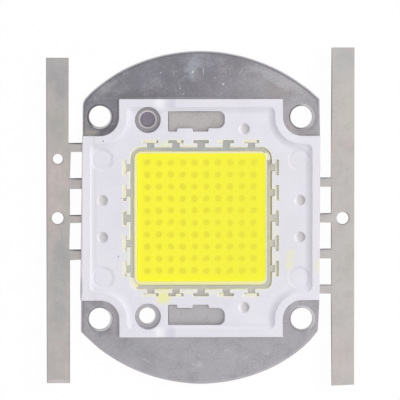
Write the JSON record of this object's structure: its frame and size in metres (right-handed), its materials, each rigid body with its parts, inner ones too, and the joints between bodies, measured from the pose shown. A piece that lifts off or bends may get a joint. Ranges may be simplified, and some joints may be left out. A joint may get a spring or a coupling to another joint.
{
  "type": "led module",
  "caption": "High-power LED module: a square yellow phosphor field in a white moulded frame on a flat-sided round metal plate, with contact strips on tabs along its sides.",
  "frame": {"origin": "centre of the plate's flat underside, midway between the four screw holes", "axes": "+Z out of the lit face, +Y towards the plate edge with the blind locating pit, +X towards the strip with one pilot hole"},
  "size_m": [0.052, 0.057, 0.004],
  "materials": {
    "plate": "satin nickel plate on copper",
    "frame": "matt white moulding, faintly blue",
    "lead": "satin silver plate on copper strip",
    "dam": "cream silicone",
    "phosphor": "smooth yellow silicone",
    "chip": "polished",
    "wire": "drawn gold wire"
  },
  "bodies": {
    "root": {"base_plate": "plate", "moulded_frame": "frame", "left_leadframe": "lead", "right_leadframe": "lead", "silicone_dam": "dam", "phosphor_fill": "phosphor", "die_row_01": "chip", "die_row_02": "chip", "die_row_03": "chip", "die_row_04": "chip", "die_row_05": "chip", "die_row_06": "chip", "die_row_07": "chip", "die_row_08": "chip", "die_row_09": "chip", "die_row_10": "chip", "bond_wires_row_01": "wire", "bond_wires_row_02": "wire", "bond_wires_row_03": "wire", "bond_wires_row_04": "wire", "bond_wires_row_05": "wire", "bond_wires_row_06": "wire", "bond_wires_row_07": "wire", "bond_wires_row_08": "wire", "bond_wires_row_09": "wire", "bond_wires_row_10": "wire"}
  },
  "joints": []
}
